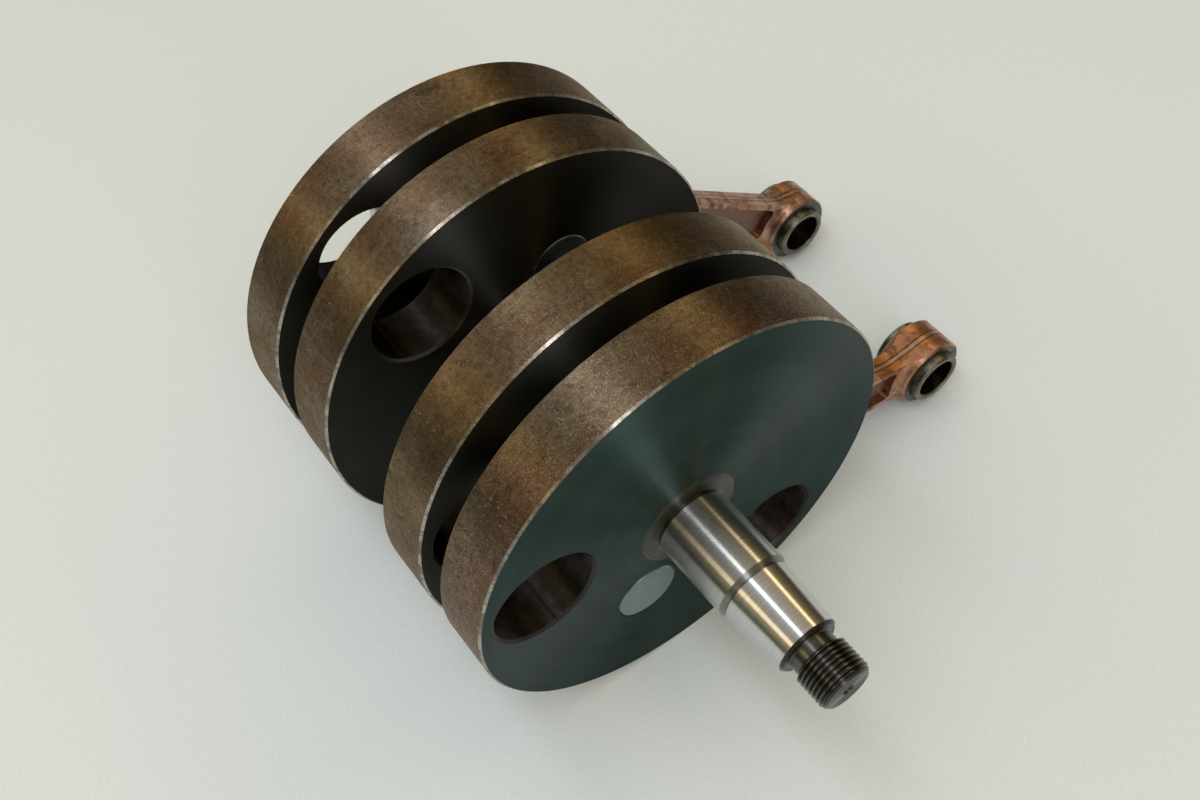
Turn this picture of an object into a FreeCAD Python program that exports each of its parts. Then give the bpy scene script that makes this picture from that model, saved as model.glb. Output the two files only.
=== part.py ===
import FreeCAD
import Part

import math
import os

# Pressed-up crankshaft of a small parallel-twin engine with its two connecting rods.
# Millimetres. The crank axis is X, +Z is up, and the origin is the middle of the
# centre main bearing. The threaded main shaft is at +X. The part lies on its four
# flywheels, with both rods lying over towards +Y until their small ends touch down.

# ---- driving dimensions ---------------------------------------------------------

flywheel_radius = 76.0
flywheel_width = 20.9
rod_slot = 10.8
centre_gap = 33.6
throw = 33.0
crank_angle = 57.5
rim_chamfer = 0.7

balance_hole_radius = 17.3
balance_hole_offset = 53.4
balance_hole_angle = 70.0
balance_hole_chamfer = 0.9

pin_radius = 11.0
pin_chamfer = 0.4
recess_radius = 23.0
recess_depth = 2.4

shaft_stub_radius = 17.8
shaft_stub_chamfer = 0.8
collar_height = 0.5
journal_radius = 12.5
journal_length = 29.6
relief_radius = 12.1
taper_ratio = 8.0
journal_groove_width = 1.2
journal_groove_chamfer = 0.4
stub_end_clearance = 0.2
taper_relief = 0.3
taper_relief_start = 0.7
taper_relief_end = 0.15
taper_end_chamfer = 0.95
neck_fillet = 0.5
centre_drill_radius = 1.1
centre_drill_depth = 4.5
centre_drill_tip = 0.6
centre_sink_radius = 2.0
centre_sink_depth = 1.5

right_taper_start = 31.8
right_taper_end = 53.6
right_taper_radius = 11.85
right_neck_radius = 7.6
right_thread_start = 59.45
right_thread_end = 69.3
right_thread_radius = 9.0
right_shaft_end = 70.7

left_taper_start = 31.8
left_taper_end = 46.8
left_taper_radius = 10.0
left_neck_radius = 6.6
left_thread_start = 49.9
left_thread_end = 59.6
left_thread_radius = 8.0
left_shaft_end = 61.0

thread_pitch = 1.5
thread_depth = 0.92
thread_runout = 0.9

rod_length = 151.0
big_eye_radius = 21.5
big_eye_width = 13.0
race_radius = 16.02
small_eye_radius = 14.0
small_eye_width = 15.5
shank_thickness = 9.0
shank_half_depth_big = 11.2
shank_half_depth_small = 8.6
web_thickness = 3.6
flange_thickness = 2.2
pocket_land = 0.6
pocket_corner = 1.8
big_flare_radius = 16.0
small_flare_radius = 26.0
big_shoulder_reach = 2.5
small_shoulder_reach = 3.2
big_eye_chamfer = 0.8
small_eye_chamfer = 0.7

bush_outer_radius = 10.5
bush_bore_radius = 8.0
bush_length = 22.0
bush_chamfer = 0.6

roller_radius = 2.48
roller_circle = 13.5
roller_length = 10.8
roller_count = 12
roller_chamfer = 0.3
cage_inner_radius = 12.2
cage_outer_radius = 14.8
cage_width = 12.2
cage_pocket_clearance = 0.06
cage_chamfer = 0.3
washer_thickness = 1.0
washer_inner_radius = 11.3
washer_outer_radius = 20.5
washer_chamfer = 0.2

centre_shaft_radius = 15.0
centre_shaft_chamfer = 0.6
bearing_width = 16.0
bearing_outer_radius = 31.0
bearing_pitch_radius = 23.0
bearing_ball_radius = 4.76
bearing_groove_radius = 4.85
bearing_ball_count = 9
inner_land_radius = 19.7
outer_land_radius = 26.3
ball_cage_inner_radius = 21.2
ball_cage_outer_radius = 24.8
ball_cage_width = 12.0
ball_cage_chamfer = 0.4
ball_pocket_radius = 4.95
bearing_chamfer = 0.8

sleeve_radius = 21.8
sleeve_groove_width = 1.5
sleeve_groove_depth = 1.6
sleeve_groove_shares = (0.32, 0.68)
sleeve_chamfer = 0.3

scribe_line_angle = 89.0
scribe_line_half_width = 0.3
scribe_line_depth = 0.25
punch_mark_angle = 78.2
punch_mark_radius = 0.42
punch_mark_depth = 0.3
punch_mark_pitch = 3.6

# ---- places along the crank axis ------------------------------------------------

inner_flywheel_near = centre_gap / 2
inner_flywheel_far = inner_flywheel_near + flywheel_width
outer_flywheel_near = inner_flywheel_far + rod_slot
outer_flywheel_far = outer_flywheel_near + flywheel_width
rod_centre = (inner_flywheel_far + outer_flywheel_near) / 2

axis_x = FreeCAD.Vector(1, 0, 0)
origin = FreeCAD.Vector(0, 0, 0)
overrun = 1.0


# ---- shape helpers --------------------------------------------------------------

def polar(radius, angle):
    """Y and Z of a point at a radius from the X axis, at an angle above +Y."""
    return radius * math.cos(math.radians(angle)), radius * math.sin(math.radians(angle))


def turned(profile):
    """Solid turned about the X axis from a closed outline of (x, radius) points."""
    points = [FreeCAD.Vector(x, radius, 0) for x, radius in profile]
    wire = Part.makePolygon(points + [points[0]])
    return Part.Face(wire).revolve(origin, axis_x, 360)


def rod_bar(radius, x_start, x_end, y=0.0, z=0.0):
    """Plain cylinder along X."""
    return Part.makeCylinder(radius, x_end - x_start, FreeCAD.Vector(x_start, y, z), axis_x)


def ring(inner_radius, outer_radius, x_start, x_end, edge=0.0):
    """Ring about the X axis. Its four edges are chamfered if an edge size is given."""
    if not edge:
        return turned([
            (x_start, inner_radius),
            (x_start, outer_radius),
            (x_end, outer_radius),
            (x_end, inner_radius),
        ])
    return turned([
        (x_start, inner_radius + edge),
        (x_start, outer_radius - edge),
        (x_start + edge, outer_radius),
        (x_end - edge, outer_radius),
        (x_end, outer_radius - edge),
        (x_end, inner_radius + edge),
        (x_end - edge, inner_radius),
        (x_start + edge, inner_radius),
    ])


def hole_cutter(radius, x_start, x_end, chamfer):
    """Cutter for a through hole on the X axis that breaks both of its edges."""
    flare = radius + chamfer
    return turned([
        (x_start - overrun, 0),
        (x_start - overrun, flare + overrun),
        (x_start + chamfer, radius),
        (x_end - chamfer, radius),
        (x_end + overrun, flare + overrun),
        (x_end + overrun, 0),
    ])


def moved(shape, x=0.0, y=0.0, z=0.0):
    """Copy of a shape, shifted."""
    copy = shape.copy()
    copy.translate(FreeCAD.Vector(x, y, z))
    return copy


def spun(shape, angle):
    """Copy of a shape, turned about the X axis."""
    copy = shape.copy()
    copy.rotate(origin, axis_x, angle)
    return copy


def around(shape, radius, count):
    """Copies of a shape evenly spaced on a circle about the X axis."""
    first = moved(shape, y=radius)
    return [spun(first, 360.0 * index / count) for index in range(count)]


def save(name, shape):
    """Write one node's STEP file."""
    if not shape.isValid():
        raise ValueError(name + " is not a valid solid")
    shape.exportStep(os.path.join("parts", name + ".step"))
    print(name, len(shape.Solids), round(shape.Volume, 1))


# ---- flywheels ------------------------------------------------------------------

def punch_marks(x_low, count):
    """Cutters for a row of punch marks that number a flywheel on its rim."""
    marks = []
    for index in range(count):
        cone = Part.makeCone(0.0, 2 * punch_mark_radius, 2 * punch_mark_depth)
        cone.translate(FreeCAD.Vector(x_low + punch_mark_pitch * (index + 1), 0,
                                      flywheel_radius - punch_mark_depth))
        marks.append(spun(cone, crank_angle + punch_mark_angle - 90))
    return marks


def scribe_line(x_low, x_high):
    """Cutter for the V-shaped truing line across a flywheel's rim."""
    half = scribe_line_half_width
    top = flywheel_radius + scribe_line_depth
    points = [
        FreeCAD.Vector(x_low - overrun, 0, flywheel_radius - scribe_line_depth),
        FreeCAD.Vector(x_low - overrun, -half, top),
        FreeCAD.Vector(x_low - overrun, half, top),
    ]
    face = Part.Face(Part.makePolygon(points + [points[0]]))
    wedge = face.extrude(FreeCAD.Vector(x_high - x_low + 2 * overrun, 0, 0))
    return spun(wedge, crank_angle + scribe_line_angle - 90)


def flywheel(x_low, x_high, slot_side, pin_angle, bore_radius, marks, scribed):
    """Full disc with shaft bore, crank pin bore, big-end recess and two balance holes."""
    disc = turned([
        (x_low, 0),
        (x_low, flywheel_radius - rim_chamfer),
        (x_low + rim_chamfer, flywheel_radius),
        (x_high - rim_chamfer, flywheel_radius),
        (x_high, flywheel_radius - rim_chamfer),
        (x_high, 0),
    ])
    pin_y, pin_z = polar(throw, pin_angle)
    cutters = [
        rod_bar(bore_radius, x_low - overrun, x_high + overrun),
        moved(hole_cutter(pin_radius, x_low, x_high, pin_chamfer), y=pin_y, z=pin_z),
    ]
    if slot_side > 0:
        cutters.append(rod_bar(recess_radius, x_high - recess_depth, x_high + overrun, pin_y, pin_z))
    else:
        cutters.append(rod_bar(recess_radius, x_low - overrun, x_low + recess_depth, pin_y, pin_z))
    balance_hole = hole_cutter(balance_hole_radius, x_low, x_high, balance_hole_chamfer)
    for side in (-1, 1):
        hole_y, hole_z = polar(balance_hole_offset, pin_angle + side * balance_hole_angle)
        cutters.append(moved(balance_hole, y=hole_y, z=hole_z))
    cutters += punch_marks(x_low, marks)
    if scribed:
        cutters.append(scribe_line(x_low, x_high))
    for cutter in cutters:
        disc = disc.cut(cutter)
    return disc


# ---- shafts and crank pins ------------------------------------------------------

def thread_outline(start, end, radius):
    """Crests and roots of a thread, as rings at the thread's pitch, and half of the last flank."""
    crest_flat = thread_pitch / 8
    root_flat = thread_pitch / 4
    flank = (thread_pitch - crest_flat - root_flat) / 2
    root = radius - thread_depth
    points = [(start - flank, root)]
    for index in range(int((end - start) / thread_pitch) + 1):
        x = start + index * thread_pitch
        points.append((x, radius))
        points.append((x + crest_flat, radius))
        points.append((x + crest_flat + flank, root))
        points.append((x + crest_flat + flank + root_flat, root))
    points.append((x + thread_pitch - flank / 2, radius - thread_depth / 2))
    return points


def main_shaft(taper_start, taper_end, taper_radius, neck_radius,
               thread_start, thread_end, thread_radius, shaft_end):
    """Main shaft along +X from its flywheel's outer face at x = 0."""
    stub_end = recess_depth - flywheel_width + stub_end_clearance
    groove_end = collar_height + journal_groove_width
    taper_end_radius = taper_radius - (taper_end - taper_start) / (2 * taper_ratio)
    neck_start = taper_end + taper_end_chamfer
    outline = [
        (stub_end, 0),
        (stub_end, shaft_stub_radius - shaft_stub_chamfer),
        (stub_end + shaft_stub_chamfer, shaft_stub_radius),
        (0, shaft_stub_radius),
        (collar_height, shaft_stub_radius - shaft_stub_chamfer),
        (collar_height, journal_radius + shaft_stub_chamfer),
        (collar_height + journal_groove_chamfer, relief_radius),
        (groove_end, relief_radius),
        (groove_end + journal_groove_chamfer, journal_radius),
        (journal_length, journal_radius),
        (taper_start - taper_relief_start, taper_radius - taper_relief),
        (taper_start - taper_relief_end, taper_radius - taper_relief),
        (taper_start, taper_radius),
        (taper_end, taper_end_radius),
        (neck_start, taper_end_radius - taper_end_chamfer),
        (neck_start, neck_radius + neck_fillet),
        (neck_start + neck_fillet, neck_radius),
        (thread_start - thread_runout, neck_radius),
    ]
    outline += thread_outline(thread_start, thread_end, thread_radius)
    outline += [
        (shaft_end, neck_radius),
        (shaft_end, centre_sink_radius),
        (shaft_end - centre_sink_depth, centre_drill_radius),
        (shaft_end - centre_drill_depth, centre_drill_radius),
        (shaft_end - centre_drill_depth - centre_drill_tip, 0),
    ]
    return turned(outline)


def crank_pin(pin_angle, x_low, x_high):
    """Crank pin pressed through two flywheels, flush with their far faces."""
    y, z = polar(throw, pin_angle)
    pin = turned([
        (x_low, 0),
        (x_low, pin_radius - pin_chamfer),
        (x_low + pin_chamfer, pin_radius),
        (x_high - pin_chamfer, pin_radius),
        (x_high, pin_radius - pin_chamfer),
        (x_high, 0),
    ])
    return moved(pin, y=y, z=z)


def centre_shaft():
    """Plain shaft that joins the two inner flywheels and carries the centre bearing."""
    end = inner_flywheel_far - recess_depth
    edge = centre_shaft_chamfer
    return turned([
        (-end, 0),
        (-end, centre_shaft_radius - edge),
        (edge - end, centre_shaft_radius),
        (end - edge, centre_shaft_radius),
        (end, centre_shaft_radius - edge),
        (end, 0),
    ])


# ---- connecting rod and big end -------------------------------------------------

def inside_corners(plate, y_low, y_high):
    """Edges along X where the shank meets an eye, between two places along the rod."""
    found = []
    for edge in plate.Edges:
        along_x = edge.Curve.TypeId == "Part::GeomLine" and abs(edge.tangentAt(edge.FirstParameter).x) > 0.99
        place = edge.CenterOfMass
        if along_x and y_low < place.y < y_high and abs(place.z) > 1:
            found.append(edge)
    return found


def rod_outline(thickness):
    """The rod's side outline as a plate: big eye, tapering shank, flared small eye."""
    half = thickness / 2
    big = rod_bar(big_eye_radius, -half, half)
    small = rod_bar(small_eye_radius, -half, half, y=rod_length)
    corners = [
        FreeCAD.Vector(-half, 0, -shank_half_depth_big),
        FreeCAD.Vector(-half, rod_length, -shank_half_depth_small),
        FreeCAD.Vector(-half, rod_length, shank_half_depth_small),
        FreeCAD.Vector(-half, 0, shank_half_depth_big),
    ]
    bar = Part.Face(Part.makePolygon(corners + [corners[0]])).extrude(FreeCAD.Vector(thickness, 0, 0))
    plate = bar.fuse([big, small]).removeSplitter()
    plate = plate.makeFillet(big_flare_radius, inside_corners(plate, big_eye_radius / 2, rod_length / 2))
    return plate.makeFillet(small_flare_radius,
                            inside_corners(plate, rod_length / 2, rod_length - small_eye_radius / 2))


def shank_pocket(side):
    """Cutter for the channel in one side of the I-section shank, with ends concentric with the eyes."""
    floor = web_thickness / 2
    big_depth = shank_half_depth_big - flange_thickness
    small_depth = shank_half_depth_small - flange_thickness
    corners = [
        FreeCAD.Vector(floor, 0, -big_depth),
        FreeCAD.Vector(floor, rod_length, -small_depth),
        FreeCAD.Vector(floor, rod_length, small_depth),
        FreeCAD.Vector(floor, 0, big_depth),
    ]
    face = Part.Face(Part.makePolygon(corners + [corners[0]]))
    pocket = face.extrude(FreeCAD.Vector(shank_thickness, 0, 0))
    big_end = big_eye_radius + big_shoulder_reach + pocket_land
    small_end = small_eye_radius + small_shoulder_reach + pocket_land
    pocket = pocket.cut(rod_bar(big_end, 0, 2 * shank_thickness))
    pocket = pocket.cut(rod_bar(small_end, 0, 2 * shank_thickness, y=rod_length))
    upright = [edge for edge in pocket.Edges if abs(edge.tangentAt(edge.FirstParameter).x) > 0.99]
    pocket = pocket.makeFillet(pocket_corner, upright)
    if side < 0:
        pocket = pocket.mirror(origin, axis_x)
    return pocket


def eye_shoulder(y, eye_radius, eye_half, reach):
    """Hollow flare from the shank's faces up to the wider eye, kept within the rod's outline."""
    shank_half = shank_thickness / 2
    rise = eye_half - shank_half
    hollow_radius = (reach ** 2 + rise ** 2) / (2 * rise)
    half_turn = math.atan2(rise, reach)
    middle_x = shank_half + hollow_radius * (1 - math.cos(half_turn))
    middle_r = eye_radius + reach - hollow_radius * math.sin(half_turn)
    top = FreeCAD.Vector(eye_half, eye_radius, 0)
    middle = FreeCAD.Vector(middle_x, middle_r, 0)
    foot = FreeCAD.Vector(shank_half, eye_radius + reach, 0)
    inner_foot = FreeCAD.Vector(0, eye_radius + reach, 0)
    inner_top = FreeCAD.Vector(0, eye_radius - overrun, 0)
    outer_top = FreeCAD.Vector(eye_half, eye_radius - overrun, 0)
    edges = [
        Part.makeLine(outer_top, top),
        Part.Arc(top, middle, foot).toShape(),
        Part.makeLine(foot, inner_foot),
        Part.makeLine(inner_foot, inner_top),
        Part.makeLine(inner_top, outer_top),
    ]
    half_flare = Part.Face(Part.Wire(edges)).revolve(origin, axis_x, 360)
    flare = half_flare.fuse(half_flare.mirror(origin, axis_x)).removeSplitter()
    return moved(flare, y=y).common(rod_outline(2 * eye_half))


def rod_eye(outer_radius, bore_radius, half, edge):
    """Ring for one eye of the rod, a little under its bore size."""
    return ring(bore_radius - overrun, outer_radius, -half, half, edge=edge)


def bore_cutter(radius, half, chamfer):
    """Cutter for an eye's bore, with both edges broken."""
    return turned([
        (-half - overrun, 0),
        (-half - overrun, radius + chamfer + overrun),
        (chamfer - half, radius),
        (half - chamfer, radius),
        (half + overrun, radius + chamfer + overrun),
        (half + overrun, 0),
    ])


def con_rod():
    """Connecting rod along +Y, with its big end on the X axis."""
    big_half = big_eye_width / 2
    small_half = small_eye_width / 2
    big_eye = rod_eye(big_eye_radius, race_radius, big_half, big_eye_chamfer)
    small_eye = moved(rod_eye(small_eye_radius, bush_outer_radius, small_half, small_eye_chamfer), y=rod_length)
    body = rod_outline(shank_thickness)
    for side in (-1, 1):
        body = body.cut(shank_pocket(side))
    big_shoulder = eye_shoulder(0, big_eye_radius, big_half - big_eye_chamfer, big_shoulder_reach)
    small_shoulder = eye_shoulder(rod_length, small_eye_radius, small_half - small_eye_chamfer,
                                  small_shoulder_reach)
    body = body.fuse([big_eye, small_eye, big_shoulder, small_shoulder]).removeSplitter()
    body = body.cut(bore_cutter(race_radius, big_half, big_eye_chamfer))
    return body.cut(moved(bore_cutter(bush_outer_radius, small_half, small_eye_chamfer / 2), y=rod_length))


def small_end_bush():
    """Plain bush pressed into the small eye, standing proud of it on both sides."""
    half = bush_length / 2
    return moved(ring(bush_bore_radius, bush_outer_radius, -half, half, edge=bush_chamfer), y=rod_length)


def big_end_rollers():
    """Set of rollers between the crank pin and the rod's race."""
    half = roller_length / 2
    edge = roller_chamfer
    roller = turned([
        (-half, 0),
        (-half, roller_radius - edge),
        (edge - half, roller_radius),
        (half - edge, roller_radius),
        (half, roller_radius - edge),
        (half, 0),
    ])
    return Part.makeCompound(around(roller, roller_circle, roller_count))


def big_end_cage():
    """Cage ring with one pocket for each roller."""
    cage = ring(cage_inner_radius, cage_outer_radius, -cage_width / 2, cage_width / 2, edge=cage_chamfer)
    half = roller_length / 2 + cage_pocket_clearance
    pocket = rod_bar(roller_radius + cage_pocket_clearance, -half, half)
    for cutter in around(pocket, roller_circle, roller_count):
        cage = cage.cut(cutter)
    return cage


def thrust_washer(side):
    """Washer between the big eye and the floor of a flywheel's recess."""
    wall = rod_slot / 2 + recess_depth
    if side > 0:
        low, high = wall - washer_thickness, wall
    else:
        low, high = -wall, washer_thickness - wall
    return ring(washer_inner_radius, washer_outer_radius, low, high, edge=washer_chamfer)


def rod_angle(pin_angle):
    """Angle above +Y of a rod whose small eye lies on the bench."""
    pin_height = throw * math.sin(math.radians(pin_angle))
    drop = small_eye_radius - flywheel_radius - pin_height
    return math.degrees(math.asin(drop / rod_length))


def placed_on_pin(shape, side, pin_angle, angle):
    """Copy of a big-end or rod shape, turned to its angle and moved to its crank pin."""
    y, z = polar(throw, pin_angle)
    return moved(spun(shape, angle), x=side * rod_centre, y=y, z=z)


# ---- centre main bearing --------------------------------------------------------

def bearing_groove():
    """Cutter for the ball track."""
    return Part.makeTorus(bearing_pitch_radius, bearing_groove_radius, origin, axis_x)


def bearing_inner_ring():
    half = bearing_width / 2
    inner_ring = ring(centre_shaft_radius, inner_land_radius, -half, half, edge=bearing_chamfer)
    return inner_ring.cut(bearing_groove())


def bearing_outer_ring():
    half = bearing_width / 2
    outer_ring = ring(outer_land_radius, bearing_outer_radius, -half, half, edge=bearing_chamfer)
    return outer_ring.cut(bearing_groove())


def bearing_balls():
    ball = Part.makeSphere(bearing_ball_radius)
    return Part.makeCompound(around(ball, bearing_pitch_radius, bearing_ball_count))


def bearing_cage():
    half = ball_cage_width / 2
    cage = ring(ball_cage_inner_radius, ball_cage_outer_radius, -half, half, edge=ball_cage_chamfer)
    for cutter in around(Part.makeSphere(ball_pocket_radius), bearing_pitch_radius, bearing_ball_count):
        cage = cage.cut(cutter)
    return cage


def seal_sleeve():
    """Grooved sleeve between the centre bearing and the inner flywheel at +X."""
    start = bearing_width / 2
    sleeve = ring(centre_shaft_radius, sleeve_radius, start, inner_flywheel_near, edge=sleeve_chamfer)
    for share in sleeve_groove_shares:
        middle = start + share * (inner_flywheel_near - start)
        groove = ring(sleeve_radius - sleeve_groove_depth, sleeve_radius + overrun,
                      middle - sleeve_groove_width / 2, middle + sleeve_groove_width / 2)
        sleeve = sleeve.cut(groove)
    return sleeve


# ---- the assembly ---------------------------------------------------------------

os.makedirs("parts", exist_ok=True)

right_pin_angle = crank_angle + 180
left_pin_angle = crank_angle

save("right_outer_flywheel", flywheel(outer_flywheel_near, outer_flywheel_far, -1,
                                      right_pin_angle, shaft_stub_radius, 4, True))
save("right_inner_flywheel", flywheel(inner_flywheel_near, inner_flywheel_far, 1,
                                      right_pin_angle, centre_shaft_radius, 3, True))
save("left_inner_flywheel", flywheel(-inner_flywheel_far, -inner_flywheel_near, -1,
                                     left_pin_angle, centre_shaft_radius, 2, True))
save("left_outer_flywheel", flywheel(-outer_flywheel_far, -outer_flywheel_near, 1,
                                     left_pin_angle, shaft_stub_radius, 1, False))

right_shaft = main_shaft(right_taper_start, right_taper_end, right_taper_radius, right_neck_radius,
                         right_thread_start, right_thread_end, right_thread_radius, right_shaft_end)
save("right_main_shaft", moved(right_shaft, x=outer_flywheel_far))
left_shaft = main_shaft(left_taper_start, left_taper_end, left_taper_radius, left_neck_radius,
                        left_thread_start, left_thread_end, left_thread_radius, left_shaft_end)
left_shaft = moved(left_shaft, x=outer_flywheel_far)
left_shaft.rotate(origin, FreeCAD.Vector(0, 0, 1), 180)
save("left_main_shaft", left_shaft)
save("centre_shaft", centre_shaft())

rod = con_rod()
for name, side, pin_angle in (("right", 1, right_pin_angle), ("left", -1, left_pin_angle)):
    angle = rod_angle(pin_angle)
    print(name, "rod angle", round(angle, 4), "pin", [round(value, 4) for value in polar(throw, pin_angle)])
    if side > 0:
        save("right_crank_pin", crank_pin(pin_angle, inner_flywheel_near, outer_flywheel_far))
    else:
        save("left_crank_pin", crank_pin(pin_angle, -outer_flywheel_far, -inner_flywheel_near))
    save(name + "_con_rod", placed_on_pin(rod, side, pin_angle, angle))
    save(name + "_small_end_bush", placed_on_pin(small_end_bush(), side, pin_angle, angle))
    save(name + "_big_end_rollers", placed_on_pin(big_end_rollers(), side, pin_angle, angle))
    save(name + "_big_end_cage", placed_on_pin(big_end_cage(), side, pin_angle, angle))
    save(name + "_outer_thrust_washer", placed_on_pin(thrust_washer(side), side, pin_angle, 0))
    save(name + "_inner_thrust_washer", placed_on_pin(thrust_washer(-side), side, pin_angle, 0))

save("centre_bearing_inner_ring", bearing_inner_ring())
save("centre_bearing_outer_ring", bearing_outer_ring())
save("centre_bearing_balls", bearing_balls())
save("centre_bearing_cage", bearing_cage())
save("right_seal_sleeve", seal_sleeve())
left_sleeve = seal_sleeve()
left_sleeve.rotate(origin, FreeCAD.Vector(0, 0, 1), 180)
save("left_seal_sleeve", left_sleeve)
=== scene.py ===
import math

import bpy
from mathutils import Matrix, Vector


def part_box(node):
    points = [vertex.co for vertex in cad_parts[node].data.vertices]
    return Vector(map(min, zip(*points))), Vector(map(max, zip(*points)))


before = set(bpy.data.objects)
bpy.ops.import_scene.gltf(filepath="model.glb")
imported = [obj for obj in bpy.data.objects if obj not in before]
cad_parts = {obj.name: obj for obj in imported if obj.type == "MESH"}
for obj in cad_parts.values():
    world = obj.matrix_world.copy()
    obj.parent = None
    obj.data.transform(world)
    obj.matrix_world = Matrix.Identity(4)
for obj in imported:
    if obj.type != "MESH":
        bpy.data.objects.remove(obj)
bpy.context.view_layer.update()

# A pressed-up parallel-twin crankshaft lying on its flywheels. Metres. The crank axis is X,
# the threaded shaft is at +X, +Z is up and both rods lie over towards +Y.

MM = 0.001

# places along the main shafts, in millimetres out from the flywheel's face
journal_start = 2.1
journal_end = 29.6
taper_start = 31.8
right_taper_end = 53.6
left_taper_end = 46.8

# past a shaft's taper: length of its chamfered lip, and where the metal turns black
lip_length = 0.95
black_from = 4.6

# other sizes of the part, in millimetres
thread_depth = 0.92
right_thread_radius = 9.0
left_thread_radius = 8.0
rim_chamfer = 0.7
big_eye_half_width = 6.5
shank_half_thickness = 4.5
bush_bore_radius = 8.0

# floor, in metres
floor_half_width = 12.0

# tone of the discs' faces, in linear colour; the teal of the right outer face is a painted reflection of
# teal surroundings on dark grey steel
dark_face = (0.040, 0.037, 0.032)
face_with_teal_reflection = (0.042, 0.072, 0.070)


# ---- places read from the CAD frame ---------------------------------------------

def low(node, axis):
    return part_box(node)[0]["xyz".index(axis)]


def high(node, axis):
    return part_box(node)[1]["xyz".index(axis)]


def centre(node):
    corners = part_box(node)
    return (corners[0] + corners[1]) / 2


wheel_radius = high("right_outer_flywheel", "z")
floor_height = low("right_outer_flywheel", "z")
right_face = high("right_outer_flywheel", "x")
left_face = low("left_outer_flywheel", "x")


# ---- camera, floor and lights ---------------------------------------------------

camera_place = Vector((230.4, -117.2, 357.4)) * MM
camera_target = Vector((17.3, 4.95, 0.0)) * MM
camera_roll = math.radians(8.3)

# light of the room at angles above +Y, in degrees round the crank axis
room_light = [
    (0, (0.06, 0.05, 0.035)),
    (14, (0.09, 0.07, 0.04)),
    (30, (0.20, 0.15, 0.07)),
    (48, (0.40, 0.32, 0.18)),
    (72, (0.50, 0.44, 0.32)),
    (90, (0.52, 0.51, 0.47)),
    (106, (0.56, 0.56, 0.56)),
    (122, (0.44, 0.42, 0.37)),
    (144, (0.46, 0.39, 0.24)),
    (158, (0.38, 0.32, 0.19)),
    (168, (0.19, 0.17, 0.11)),
    (180, (0.07, 0.08, 0.06)),
]


def make_camera():
    """Camera above and beyond the threaded end, looking down across the crank."""
    data = bpy.data.cameras.new("camera")
    data.sensor_width = 36.0
    data.lens = 40.1
    data.clip_start = 0.01
    data.clip_end = 60.0
    camera = bpy.data.objects.new("camera", data)
    bpy.context.scene.collection.objects.link(camera)
    look = (camera_target - camera_place).to_track_quat("-Z", "Y").to_matrix().to_4x4()
    camera.matrix_world = Matrix.Translation(camera_place) @ look @ Matrix.Rotation(-camera_roll, 4, "Z")
    bpy.context.scene.camera = camera


def strip_light(name, angle, distance, width, length, x, colour, power, seen_in_metal=True):
    """Soft strip light along X, at an angle above +Y round the crank axis."""
    data = bpy.data.lights.new(name, "AREA")
    data.shape = "RECTANGLE"
    data.size = length
    data.size_y = width
    data.color = colour
    data.energy = power
    light = bpy.data.objects.new(name, data)
    bpy.context.scene.collection.objects.link(light)
    turn = math.radians(angle)
    place = Vector((x, distance * math.cos(turn), distance * math.sin(turn)))
    back = place.normalized()
    across = Vector((1, 0, 0))
    across = (across - back * across.dot(back)).normalized()
    up = back.cross(across)
    axes = Matrix((across, up, back)).transposed().to_4x4()
    light.matrix_world = Matrix.Translation(place) @ axes
    light.visible_glossy = seen_in_metal


def make_floor():
    """Plain pale card under the part."""
    half = floor_half_width
    mesh = bpy.data.meshes.new("floor")
    corners = [(-half, -half, 0), (half, -half, 0), (half, half, 0), (-half, half, 0)]
    mesh.from_pydata(corners, [], [(0, 1, 2, 3)])
    floor = bpy.data.objects.new("floor", mesh)
    floor.location.z = floor_height
    bpy.context.scene.collection.objects.link(floor)
    paint = Shader("floor_card")
    speckle = paint.noise(paint.place, 0.9, detail=4.0)
    pale = paint.mix(paint.range(speckle, 0.35, 0.65), (0.75, 0.83, 0.89), (0.79, 0.87, 0.93))
    paint.finish(pale, 0.75, metallic=0.0)
    mesh.materials.append(paint.material)


def make_world():
    """A soft room: dark at the horizon, with warm walls and a whiter ceiling along the crank."""
    world = bpy.data.worlds.new("studio")
    bpy.context.scene.world = world
    world.use_nodes = True
    tree = world.node_tree
    background = tree.nodes["Background"]
    direction = tree.nodes.new("ShaderNodeTexCoord")
    parts = tree.nodes.new("ShaderNodeSeparateXYZ")
    tree.links.new(direction.outputs["Generated"], parts.inputs[0])
    angle_up = tree.nodes.new("ShaderNodeMath")
    angle_up.operation = "ARCTAN2"
    tree.links.new(parts.outputs["Z"], angle_up.inputs[0])
    tree.links.new(parts.outputs["Y"], angle_up.inputs[1])
    share = tree.nodes.new("ShaderNodeMath")
    share.operation = "DIVIDE"
    share.inputs[1].default_value = math.pi
    tree.links.new(angle_up.outputs[0], share.inputs[0])
    ramp = tree.nodes.new("ShaderNodeValToRGB")
    ramp.color_ramp.interpolation = "LINEAR"
    while len(ramp.color_ramp.elements) < len(room_light):
        ramp.color_ramp.elements.new(1.0)
    for element, (angle, colour) in zip(ramp.color_ramp.elements, room_light):
        element.position = angle / 180.0
        element.color = (*colour, 1.0)
    tree.links.new(share.outputs[0], ramp.inputs["Fac"])
    tree.links.new(ramp.outputs["Color"], background.inputs["Color"])
    background.inputs["Strength"].default_value = 1.0


# ---- shader building ------------------------------------------------------------

# highlights stretch across the marks in the metal, a quarter of a turn from their direction
quarter_turn = 0.25


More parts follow.
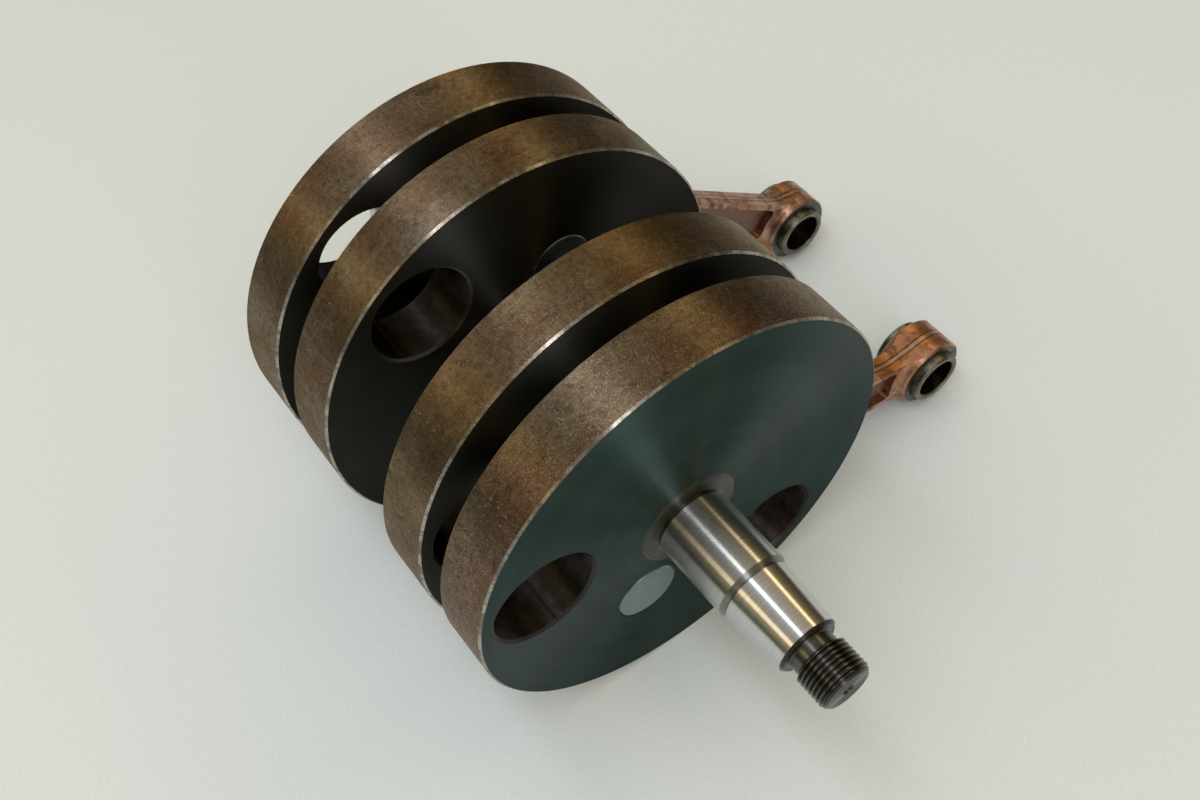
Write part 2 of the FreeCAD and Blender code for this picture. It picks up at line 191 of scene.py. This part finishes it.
class Shader:
    """One material, with short ways to add and join its nodes. Places in it are in millimetres."""

    def __init__(self, name):
        self.material = bpy.data.materials.new(name)
        self.material.use_nodes = True
        self.tree = self.material.node_tree
        self.tree.nodes.clear()
        self.coordinates = self.add("ShaderNodeTexCoord")
        self.place = self.vector("MULTIPLY", self.coordinates.outputs["Object"], (1000, 1000, 1000))
        parts = self.add("ShaderNodeSeparateXYZ", Vector=self.place)
        self.x, self.y, self.z = parts.outputs
        self.normal = self.coordinates.outputs["Normal"]

    def add(self, kind, settings=None, **sockets):
        node = self.tree.nodes.new(kind)
        for key, value in (settings or {}).items():
            setattr(node, key, value)
        for key, value in sockets.items():
            self.put(node.inputs[key.replace("_", " ")], value)
        return node

    def put(self, socket, value):
        if isinstance(value, bpy.types.NodeSocket):
            self.tree.links.new(value, socket)
        elif socket.type == "RGBA" and len(value) == 3:
            socket.default_value = (*value, 1)
        else:
            socket.default_value = value

    def math(self, operation, first, second=0.0, third=0.0):
        node = self.add("ShaderNodeMath", {"operation": operation})
        for socket, value in zip(node.inputs, (first, second, third)):
            self.put(socket, value)
        return node.outputs[0]

    def vector(self, operation, first, second=(0, 0, 0)):
        node = self.add("ShaderNodeVectorMath", {"operation": operation})
        self.put(node.inputs[0], first)
        self.put(node.inputs[1], second)
        return node.outputs[0]

    def join(self, x, y, z):
        node = self.add("ShaderNodeCombineXYZ")
        for socket, value in zip(node.inputs, (x, y, z)):
            self.put(socket, value)
        return node.outputs[0]

    def length(self, first, second):
        squares = self.math("MULTIPLY_ADD", first, first, self.math("MULTIPLY", second, second))
        return self.math("SQRT", squares)

    def range(self, value, start, stop, to_start=0.0, to_stop=1.0):
        node = self.add("ShaderNodeMapRange", {"interpolation_type": "SMOOTHSTEP"})
        for socket, number in zip(node.inputs, (value, start, stop, to_start, to_stop)):
            self.put(socket, number)
        return node.outputs[0]

    def band(self, value, start, stop, edge):
        """1 between start and stop, and 0 outside, with soft edges."""
        rise = self.range(value, start - edge, start + edge)
        fall = self.range(value, stop - edge, stop + edge, 1.0, 0.0)
        return self.math("MULTIPLY", rise, fall)

    def mix(self, factor, first, second):
        """Blend of two colours."""
        node = self.add("ShaderNodeMix", {"data_type": "RGBA"})
        self.put(node.inputs[0], factor)
        self.put(node.inputs[6], first)
        self.put(node.inputs[7], second)
        return node.outputs[2]

    def lerp(self, factor, first, second):
        """Blend of two numbers."""
        node = self.add("ShaderNodeMix", {"data_type": "FLOAT"})
        self.put(node.inputs[0], factor)
        self.put(node.inputs[2], first)
        self.put(node.inputs[3], second)
        return node.outputs[0]

    def noise(self, place, scale, detail=2.0, roughness=0.5, distortion=0.0):
        node = self.add("ShaderNodeTexNoise", None, Vector=place, Scale=scale, Detail=detail,
                        Roughness=roughness, Distortion=distortion)
        return node.outputs[0]

    def stretched(self, place, factors, shift=(0, 0, 0)):
        moved = self.vector("ADD", place, shift)
        return self.vector("MULTIPLY", moved, factors)

    def turned(self, place, angles):
        node = self.add("ShaderNodeVectorRotate", {"rotation_type": "EULER_XYZ"}, Vector=place)
        node.inputs["Rotation"].default_value = [math.radians(angle) for angle in angles]
        return node.outputs[0]

    def scratches(self, angles, stretch, width, share, seed):
        """Thin straight scratches: borders of long cells, kept only in patches."""
        place = self.stretched(self.turned(self.place, angles), stretch, (seed, seed, seed))
        cells = self.add("ShaderNodeTexVoronoi", {"feature": "DISTANCE_TO_EDGE"}, Vector=place, Scale=1.0)
        line = self.range(cells.outputs["Distance"], 0.0, width, 1.0, 0.0)
        patch = self.noise(self.stretched(self.place, (1, 1, 1), (seed * 7, 0, 0)), 0.11, detail=3.0)
        return self.math("MULTIPLY", line, self.range(patch, 1.0 - share, 1.0 - share + 0.08))

    def wrap_tangent(self):
        """Direction round the crank axis, the way that lathe and grinding marks run."""
        around = self.join(0.0, self.math("MULTIPLY", self.z, -1.0), self.y)
        node = self.add("ShaderNodeVectorTransform",
                        {"vector_type": "VECTOR", "convert_from": "OBJECT", "convert_to": "WORLD"},
                        Vector=around)
        return self.vector("NORMALIZE", node.outputs[0])

    def bump(self, height, distance, under=None):
        """Relief of a height in millimetres, on top of any relief under it."""
        node = self.add("ShaderNodeBump", None, Height=height, Distance=distance * MM)
        if under is not None:
            self.put(node.inputs["Normal"], under)
        return node.outputs[0]

    def faces_along_x(self):
        """1 where the surface faces along X, and 0 where it faces away from X."""
        return self.math("ABSOLUTE", self.add("ShaderNodeSeparateXYZ", Vector=self.normal).outputs[0])

    def finish(self, colour, roughness, metallic=1.0, normal=None, tangent=None, anisotropy=0.0):
        surface = self.add("ShaderNodeBsdfPrincipled")
        self.put(surface.inputs["Base Color"], colour)
        self.put(surface.inputs["Roughness"], roughness)
        self.put(surface.inputs["Metallic"], metallic)
        surface.inputs["Anisotropic"].default_value = anisotropy
        surface.inputs["Anisotropic Rotation"].default_value = quarter_turn
        if normal is not None:
            self.put(surface.inputs["Normal"], normal)
        if tangent is not None:
            self.put(surface.inputs["Tangent"], tangent)
        output = self.add("ShaderNodeOutputMaterial")
        self.tree.links.new(surface.outputs[0], output.inputs["Surface"])
        return self.material


# ---- materials ------------------------------------------------------------------
# Noise scales are per millimetre and colours are linear.

def steel_patterns(skin, seed):
    """Noise that the rim and the faces of a disc share, from broad clouds down to fine specks."""
    shifted = skin.stretched(skin.place, (1, 1, 1), (seed * 31.0, seed * 17.0, seed * 7.0))
    streaks = skin.stretched(shifted, (3.2, 0.05, 0.05))
    return {
        "cloud": skin.noise(shifted, 0.045, detail=6.0, roughness=0.62),
        "stain": skin.noise(shifted, 0.14, detail=6.0, roughness=0.72, distortion=0.6),
        "mottle": skin.noise(shifted, 0.55, detail=4.0, roughness=0.7, distortion=0.3),
        "grain": skin.noise(shifted, 1.6, detail=3.0, roughness=0.65),
        "fine": skin.noise(shifted, 2.0, detail=3.0, roughness=0.65),
        "wheel_marks": skin.noise(streaks, 1.0, detail=3.0, roughness=0.7),
    }


def rim_patina(skin, pattern, grey_share, redness, speckle):
    """Brown patina over ground steel, mottled, stained, rubbed and specked."""
    cloud, stain = pattern["cloud"], pattern["stain"]
    brown = skin.mix(skin.range(cloud, 0.35, 0.66), (0.150, 0.096, 0.044), (0.300, 0.212, 0.118))
    grey = skin.mix(skin.range(stain, 0.3, 0.7), (0.18, 0.155, 0.125), (0.33, 0.285, 0.240))
    reddish = skin.mix(skin.range(stain, 0.35, 0.65), (0.23, 0.120, 0.088), (0.37, 0.225, 0.185))
    pitting = 0.25 + 0.35 * speckle
    colour = skin.mix(skin.range(cloud, 0.40, 0.60, 0.0, grey_share), brown, grey)
    colour = skin.mix(skin.range(cloud, 0.34, 0.58, redness, 0.0), colour, reddish)
    colour = skin.mix(skin.range(pattern["mottle"], 0.42, 0.66, 0.0, 0.60), colour, (0.095, 0.063, 0.031))
    colour = skin.mix(skin.range(stain, 0.52, 0.68, 0.0, 0.65), colour, (0.060, 0.042, 0.022))
    colour = skin.mix(skin.range(pattern["wheel_marks"], 0.45, 0.75, 0.0, 0.40), colour, (0.40, 0.31, 0.20))
    colour = skin.mix(skin.range(pattern["grain"], 0.54, 0.74, 0.0, pitting), colour, (0.055, 0.040, 0.025))
    return skin.mix(skin.range(pattern["fine"], 0.56, 0.68, 0.0, speckle), colour, (0.78, 0.66, 0.54))


def lathe_rings(skin, radius, per_mm, drift, **settings):
    """Noise in rings round the crank axis, which drifts slowly across the face."""
    place = skin.join(skin.math("MULTIPLY", radius, per_mm), skin.math("MULTIPLY", skin.y, drift),
                      skin.math("MULTIPLY", skin.z, drift))
    return skin.noise(place, 1.0, **settings)


def rim_scratches(skin, seed):
    """Three sets of straight scratches, each in its own direction."""
    first = skin.scratches((12, 20, 0), (0.02, 0.9, 0.9), 0.012, 0.50, seed + 1.3)
    second = skin.scratches((70, 55, 10), (0.05, 0.7, 0.7), 0.013, 0.46, seed + 5.1)
    third = skin.scratches((130, -40, 25), (0.04, 0.8, 0.8), 0.012, 0.44, seed + 9.7)
    return skin.math("MAXIMUM", skin.math("MAXIMUM", first, second), third)


def flywheel_steel(name, seed, grey_share, redness, speckle, face_tone):
    """Oil-browned rim, lathe-turned dark faces, bright broken edges and dark bored holes."""
    skin = Shader(name)
    pattern = steel_patterns(skin, seed)
    cloud, stain, grain = pattern["cloud"], pattern["stain"], pattern["grain"]

    # masks for the rim, its broken edges, the faces and the edges of the holes
    radius = skin.length(skin.y, skin.z)
    radius_mm = wheel_radius / MM
    flat = skin.faces_along_x()
    near_rim = skin.range(radius, radius_mm - rim_chamfer - 0.30, radius_mm - rim_chamfer - 0.15)
    slope = skin.band(flat, 0.45, 0.88, 0.05)
    face = skin.range(flat, 0.9, 0.97)
    rim = skin.math("MULTIPLY", near_rim, skin.range(flat, 0.30, 0.45, 1.0, 0.0))
    outer_edge = skin.math("MULTIPLY", near_rim, slope)
    hole_edge = skin.math("MULTIPLY", skin.math("SUBTRACT", 1.0, near_rim), slope)

    turning = lathe_rings(skin, radius, 1.5, 0.010, detail=4.0, roughness=0.75)
    rings = lathe_rings(skin, radius, 0.16, 0.004, detail=2.0)
    scratch = rim_scratches(skin, seed)

    # face_tone carries the painted teal reflection on the right outer disc, and the ring and ridge tones
    # scale it
    ring_tone = [1.10 * value for value in face_tone]
    ridge_tone = [1.3 * value for value in face_tone]
    turned = skin.mix(skin.range(rings, 0.35, 0.65), face_tone, ring_tone)
    turned = skin.mix(skin.range(turning, 0.48, 0.75, 0.0, 0.30), turned, ridge_tone)
    turned = skin.mix(skin.range(cloud, 0.45, 0.70, 0.0, 0.35), turned, (0.056, 0.056, 0.048))
    bored = skin.mix(skin.range(stain, 0.35, 0.7), (0.050, 0.040, 0.036), (0.105, 0.085, 0.074))
    broken = skin.mix(skin.range(grain, 0.3, 0.7), (0.070, 0.066, 0.060), (0.125, 0.112, 0.098))
    worn = skin.mix(skin.range(grain, 0.35, 0.65), (0.33, 0.295, 0.25), (0.56, 0.52, 0.47))
    worn = skin.mix(skin.range(stain, 0.42, 0.60, 0.0, 0.8), worn, (0.15, 0.115, 0.075))

    colour = skin.mix(face, bored, turned)
    colour = skin.mix(hole_edge, colour, broken)
    colour = skin.mix(outer_edge, colour, worn)
    colour = skin.mix(rim, colour, rim_patina(skin, pattern, grey_share, redness, speckle))
    on_rim = skin.math("MULTIPLY", scratch, rim)
    colour = skin.mix(skin.math("MULTIPLY", on_rim, 0.80), colour, (0.66, 0.57, 0.47))

    rim_rough = skin.range(cloud, 0.3, 0.7, 0.66, 0.56)
    rim_rough = skin.math("ADD", rim_rough, skin.range(stain, 0.5, 0.75, 0.0, 0.12))
    rough = skin.lerp(face, 0.6, skin.range(rings, 0.3, 0.7, 0.525, 0.505))
    rough = skin.lerp(outer_edge, rough, 0.30)
    rough = skin.lerp(rim, rough, rim_rough)

    tool_marks = skin.lerp(face, skin.lerp(rim, 0.0, pattern["wheel_marks"]), turning)
    rough_grain = skin.math("MULTIPLY", grain, skin.lerp(rim, 0.10, 1.0))
    specks = skin.math("ADD", rough_grain, skin.math("MULTIPLY", pattern["fine"], 0.6))
    normal = skin.bump(tool_marks, 0.006)
    normal = skin.bump(specks, 0.014 * (0.6 + speckle), under=normal)
    normal = skin.bump(skin.math("MULTIPLY", scratch, skin.lerp(rim, 0.15, -1.0)), 0.012, under=normal)
    return skin.finish(colour, rough, 1.0, normal, skin.wrap_tangent(), anisotropy=1.0)


def shaft_steel(name, face_x, direction, taper_end, thread_radius):
    """Main shaft: bright ground journal and taper, dull relief bands, blackened thread with painted
    highlight lines at its roots and crests.
    """
    skin = Shader(name)
    along = skin.math("MULTIPLY", skin.math("SUBTRACT", skin.x, face_x / MM), direction)
    radius = skin.length(skin.y, skin.z)
    root_radius = thread_radius - thread_depth
    on_journal = skin.band(along, journal_start, journal_end - 0.05, 0.04)
    on_taper = skin.band(along, taper_start - 0.02, taper_end, 0.04)
    ground = skin.math("MAXIMUM", on_journal, on_taper)
    collar = skin.range(along, journal_start - 0.2, journal_start - 0.1, 1.0, 0.0)
    past_taper = skin.range(along, taper_end + 0.02, taper_end + 0.06)
    lip = skin.band(along, taper_end + 0.10, taper_end + lip_length + 0.15, 0.06)
    blackened = skin.range(along, taper_end + black_from, taper_end + black_from + 0.4)
    crest = skin.range(radius, thread_radius - 0.10, thread_radius - 0.03)
    root = skin.range(radius, root_radius + 0.04, root_radius + 0.12, 1.0, 0.0)

    marks = skin.noise(skin.stretched(skin.place, (7.0, 0.06, 0.06)), 1.0, detail=3.0, roughness=0.7)
    cloud = skin.noise(skin.place, 0.12, detail=4.0, roughness=0.6)
    grain = skin.noise(skin.place, 3.0, detail=2.0)
    bright = skin.mix(skin.range(marks, 0.3, 0.7), (0.54, 0.535, 0.53), (0.70, 0.695, 0.69))
    bright = skin.mix(skin.range(cloud, 0.55, 0.75, 0.0, 0.35), bright, (0.44, 0.40, 0.34))
    dull = skin.mix(skin.range(cloud, 0.3, 0.7), (0.19, 0.185, 0.18), (0.27, 0.265, 0.26))
    neck = skin.mix(skin.range(cloud, 0.3, 0.7), (0.105, 0.100, 0.095), (0.160, 0.155, 0.145))
    base = skin.mix(skin.range(cloud, 0.3, 0.7), (0.060, 0.060, 0.052), (0.090, 0.086, 0.074))
    black = skin.mix(skin.range(grain, 0.35, 0.7), (0.028, 0.026, 0.025), (0.058, 0.053, 0.049))
    # painted highlight: the thread roots are painted lighter as bright lines, and the crests are lighter
    # from rubbed wear and a painted highlight
    black = skin.mix(skin.math("MULTIPLY", root, 0.8), black, (0.105, 0.098, 0.090))
    rubbed_and_highlit_crests = skin.math("MULTIPLY", crest, skin.range(grain, 0.30, 0.55, 0.9, 0.5))
    black = skin.mix(rubbed_and_highlit_crests, black, (0.250, 0.235, 0.215))

    colour = skin.mix(past_taper, dull, neck)
    colour = skin.mix(lip, colour, (0.058, 0.054, 0.050))
    colour = skin.mix(blackened, colour, black)
    colour = skin.mix(collar, colour, base)
    colour = skin.mix(ground, colour, bright)
    rough = skin.lerp(ground, skin.lerp(blackened, 0.36, 0.34), skin.range(cloud, 0.3, 0.7, 0.23, 0.27))
    return skin.finish(colour, rough, 1.0, skin.bump(marks, 0.0025), skin.wrap_tangent(), anisotropy=0.93)


def pin_steel():
    """Ground end of a crank pin, with fine stains; its teal tint is a painted reflection."""
    skin = Shader("pin_steel")
    cloud = skin.noise(skin.place, 0.16, detail=4.0, roughness=0.6)
    grain = skin.noise(skin.place, 2.2, detail=3.0)
    # steel grey tinted teal: painted reflection of teal surroundings
    colour = skin.mix(skin.range(cloud, 0.3, 0.7), (0.190, 0.238, 0.234), (0.250, 0.300, 0.295))
    colour = skin.mix(skin.range(grain, 0.55, 0.75, 0.0, 0.4), colour, (0.13, 0.17, 0.165))
    rough = skin.range(cloud, 0.3, 0.7, 0.28, 0.38)
    return skin.finish(colour, rough, 1.0, skin.bump(grain, 0.004))


def rod_copper(name, node, seed):
    """Copper-plated forging: orange copper, brown tarnish, a parting line with painted shade beside it and
    bare machined eyes.
    """
    skin = Shader(name)
    shifted = skin.stretched(skin.place, (1, 1, 1), (seed * 13.0, seed * 29.0, seed * 5.0))
    cloud = skin.noise(shifted, 0.055, detail=5.0, roughness=0.62, distortion=0.5)
    stain = skin.noise(shifted, 0.16, detail=5.0, roughness=0.62, distortion=0.4)
    grain = skin.noise(shifted, 1.7, detail=3.0, roughness=0.6)

    # masks for the eyes' faces, the channels in the shank and the edges round the rod
    from_middle = skin.math("SUBTRACT", skin.x, centre(node).x / MM)
    reach = skin.math("ABSOLUTE", from_middle)
    flat = skin.faces_along_x()
    edge_on = skin.range(flat, 0.05, 0.15, 1.0, 0.0)
    past_shank = skin.range(reach, big_eye_half_width - 0.4, big_eye_half_width - 0.1)
    eye_face = skin.math("MULTIPLY", skin.range(flat, 0.90, 0.99), past_shank)
    in_channel = skin.range(reach, shank_half_thickness - 0.6, shank_half_thickness - 0.2, 1.0, 0.0)
    channel = skin.math("MULTIPLY", in_channel, skin.math("SUBTRACT", 1.0, edge_on))

    # parting line of the forging, trimmed along the middle of the rod's edges, with painted shade in a dark
    # band each side of it
    wander = skin.math("MULTIPLY_ADD", skin.noise(skin.place, 0.12), 0.9, -0.45)
    off_line = skin.math("ABSOLUTE", skin.math("ADD", from_middle, wander))
    flash = skin.math("MULTIPLY", edge_on, skin.range(off_line, 0.60, 0.85, 1.0, 0.0))
    crease_shade = skin.math("MULTIPLY", edge_on, skin.band(off_line, 0.85, 1.35, 0.15))
    worn_flash = skin.math("MULTIPLY", flash, skin.range(grain, 0.35, 0.60, 0.70, 0.25))

    channel_brown = skin.mix(skin.range(stain, 0.35, 0.65), (0.150, 0.090, 0.066), (0.270, 0.175, 0.140))
    machined = skin.mix(skin.range(grain, 0.3, 0.7), (0.085, 0.090, 0.085), (0.165, 0.165, 0.155))
    machined = skin.mix(skin.range(stain, 0.5, 0.7, 0.0, 0.6), machined, (0.050, 0.042, 0.036))
    colour = skin.mix(skin.range(cloud, 0.38, 0.62), (0.44, 0.205, 0.105), (0.60, 0.38, 0.29))
    colour = skin.mix(skin.range(stain, 0.46, 0.62, 0.0, 0.82), colour, (0.17, 0.078, 0.042))
    colour = skin.mix(skin.range(grain, 0.55, 0.75, 0.0, 0.35), colour, (0.20, 0.105, 0.062))
    # the shank's channels are made darker brown
    colour = skin.mix(skin.math("MULTIPLY", channel, 0.85), colour, channel_brown)
    colour = skin.mix(eye_face, colour, machined)
    colour = skin.mix(worn_flash, colour, (0.50, 0.37, 0.32))
    # painted shade: a dark band each side of the parting line
    colour = skin.mix(skin.math("MULTIPLY", crease_shade, 0.80), colour, (0.060, 0.038, 0.028))

    normal = skin.bump(stain, 0.10)
    normal = skin.bump(grain, 0.03, under=normal)
    normal = skin.bump(flash, 0.18, under=normal)
    return skin.finish(colour, skin.range(stain, 0.35, 0.7, 0.32, 0.52), 1.0, normal)


def bush_metal(name, node):
    """Plain bearing bush: dull turned ends and a bore painted near-black as shade."""
    skin = Shader(name)
    middle = centre(node) / MM
    from_axis = skin.length(skin.math("SUBTRACT", skin.y, middle.y),
                            skin.math("SUBTRACT", skin.z, middle.z))
    cloud = skin.noise(skin.place, 0.30, detail=4.0, roughness=0.65)
    grain = skin.noise(skin.place, 1.6, detail=3.0, roughness=0.6)
    colour = skin.mix(skin.range(cloud, 0.35, 0.65), (0.150, 0.135, 0.110), (0.300, 0.270, 0.220))
    colour = skin.mix(skin.range(grain, 0.52, 0.68, 0.0, 0.75), colour, (0.040, 0.035, 0.030))
    # painted shade: the inside of the bore is painted near-black
    shaded_bore = skin.range(from_axis, bush_bore_radius + 0.05, bush_bore_radius + 0.35, 1.0, 0.0)
    black = skin.mix(skin.range(cloud, 0.35, 0.65), (0.022, 0.019, 0.017), (0.060, 0.052, 0.045))
    colour = skin.mix(shaded_bore, colour, black)
    rough = skin.range(cloud, 0.3, 0.7, 0.34, 0.48)
    return skin.finish(colour, rough, 1.0, skin.bump(grain, 0.02))


def plain_metal(name, dark, light, low_rough, high_rough, grain_scale=2.0, marks=0.0):
    """Small hidden metal pieces: two tones of the same metal with fine marks."""
    skin = Shader(name)
    cloud = skin.noise(skin.place, 0.18, detail=4.0, roughness=0.6)
    grain = skin.noise(skin.place, grain_scale, detail=3.0, roughness=0.6)
    streak = skin.noise(skin.stretched(skin.place, (6.0, 0.12, 0.12)), 1.0, detail=2.0)
    colour = skin.mix(skin.range(cloud, 0.3, 0.7), dark, light)
    colour = skin.mix(skin.range(grain, 0.55, 0.75, 0.0, 0.35), colour, [0.6 * value for value in dark])
    rough = skin.range(cloud, 0.3, 0.7, low_rough, high_rough)
    normal = skin.bump(skin.lerp(marks, grain, streak), 0.006)
    return skin.finish(colour, rough, 1.0, normal)


def dress(node, material):
    """Give a CAD node its material."""
    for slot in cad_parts[node].material_slots:
        slot.material = material


def dress_all():
    """Give every CAD node its material."""
    dress("right_outer_flywheel",
          flywheel_steel("rim_right_outer", seed=1.0, grey_share=0.40, redness=1.00, speckle=0.60,
                         face_tone=face_with_teal_reflection))
    dress("right_inner_flywheel",
          flywheel_steel("rim_right_inner", seed=2.0, grey_share=0.15, redness=0.20, speckle=0.35,
                         face_tone=dark_face))
    dress("left_inner_flywheel",
          flywheel_steel("rim_left_inner", seed=3.0, grey_share=0.60, redness=0.35, speckle=0.25,
                         face_tone=dark_face))
    dress("left_outer_flywheel",
          flywheel_steel("rim_left_outer", seed=4.0, grey_share=0.55, redness=0.45, speckle=0.30,
                         face_tone=dark_face))
    dress("right_main_shaft",
          shaft_steel("shaft_right", right_face, 1, right_taper_end, right_thread_radius))
    dress("left_main_shaft",
          shaft_steel("shaft_left", left_face, -1, left_taper_end, left_thread_radius))
    pin = pin_steel()
    bearing = plain_metal("bearing_steel", (0.42, 0.42, 0.42), (0.58, 0.58, 0.58),
                          low_rough=0.14, high_rough=0.24, grain_scale=1.5, marks=0.7)
    cage = plain_metal("cage_brass", (0.40, 0.27, 0.11), (0.60, 0.44, 0.21),
                       low_rough=0.30, high_rough=0.45)
    washer = plain_metal("washer_steel", (0.16, 0.155, 0.15), (0.28, 0.27, 0.26),
                         low_rough=0.30, high_rough=0.42)
    sleeve = plain_metal("sleeve_steel", (0.11, 0.11, 0.11), (0.20, 0.20, 0.195),
                         low_rough=0.30, high_rough=0.42, marks=0.8)
    dress("centre_shaft", sleeve)
    for side, seed in (("right", 1.0), ("left", 2.0)):
        dress(side + "_crank_pin", pin)
        dress(side + "_con_rod", rod_copper("copper_" + side, side + "_con_rod", seed))
        dress(side + "_small_end_bush", bush_metal("bush_" + side, side + "_small_end_bush"))
        dress(side + "_big_end_rollers", bearing)
        dress(side + "_big_end_cage", cage)
        dress(side + "_outer_thrust_washer", washer)
        dress(side + "_inner_thrust_washer", washer)
        dress(side + "_seal_sleeve", sleeve)
    for part in ("inner_ring", "outer_ring", "balls"):
        dress("centre_bearing_" + part, bearing)
    dress("centre_bearing_cage", cage)


bpy.context.scene.view_settings.view_transform = "Standard"
make_camera()
make_world()
make_floor()
strip_light("overhead_strip", angle=100.0, distance=1.2, width=0.25, length=3.4, x=0.55,
            colour=(1.0, 1.0, 1.0), power=7.0)
strip_light("warm_far_strip", angle=48.0, distance=1.2, width=0.19, length=1.9, x=-0.20,
            colour=(1.0, 0.79, 0.45), power=2.4)
strip_light("warm_near_strip", angle=143.0, distance=1.2, width=0.28, length=1.9, x=-0.20,
            colour=(1.0, 0.83, 0.54), power=2.2)
strip_light("floor_wash", angle=112.0, distance=1.6, width=0.8, length=1.6, x=0.20,
            colour=(0.95, 0.98, 1.0), power=4.6, seen_in_metal=False)
dress_all()
